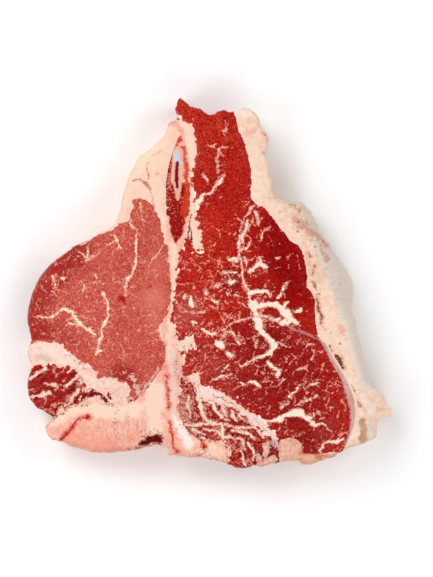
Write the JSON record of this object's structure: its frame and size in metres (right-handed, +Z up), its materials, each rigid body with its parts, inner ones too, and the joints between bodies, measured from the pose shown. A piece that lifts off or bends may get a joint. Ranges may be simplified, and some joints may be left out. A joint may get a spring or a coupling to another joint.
{
  "type": "raw t-bone steak",
  "caption": "Thick raw T-bone steak lying flat: T-shaped bone between strip loin and large tenderloin, with a fat cap along one side and small muscles by the vertebra.",
  "frame": {"origin": "on the surface the steak lies on, under the middle of its outline", "axes": "+Z up through the thickness, +X to the fat cap side, +Y to the narrow tail end of the strip loin"},
  "size_m": [0.199, 0.2024, 0.0286],
  "materials": {
    "loin_meat": "deep red raw beef with cream marbling, moist",
    "fillet_meat": "rosy raw tenderloin, fine grained, moist",
    "sawn_bone": "sawn pink and cream bone, slightly porous, with red marrow",
    "cap_fat": "firm cream fat with a greyish shaded flank",
    "suet": "smooth cream to pink kidney fat",
    "seam_fat": "soft pale pink seam fat",
    "coarse_meat": "dark red coarse grained muscle with pale streaks",
    "strand_meat": "red muscle laced with curved strands of fat",
    "chine_fat": "pale fat and gristle seam",
    "gristle": "translucent greyish pink silver skin",
    "lump_fat": "crumbly pink fat and gristle"
  },
  "bodies": {
    "root": {"strip_loin": "loin_meat", "tenderloin": "fillet_meat", "t_bone": "sawn_bone", "fat_cap": "cap_fat", "kidney_fat": "suet", "seam_fat": "seam_fat", "side_muscle": "coarse_meat", "chine_muscle": "strand_meat", "chine_fat": "chine_fat", "silver_skin": "gristle", "lower_fat": "lump_fat"}
  },
  "joints": []
}
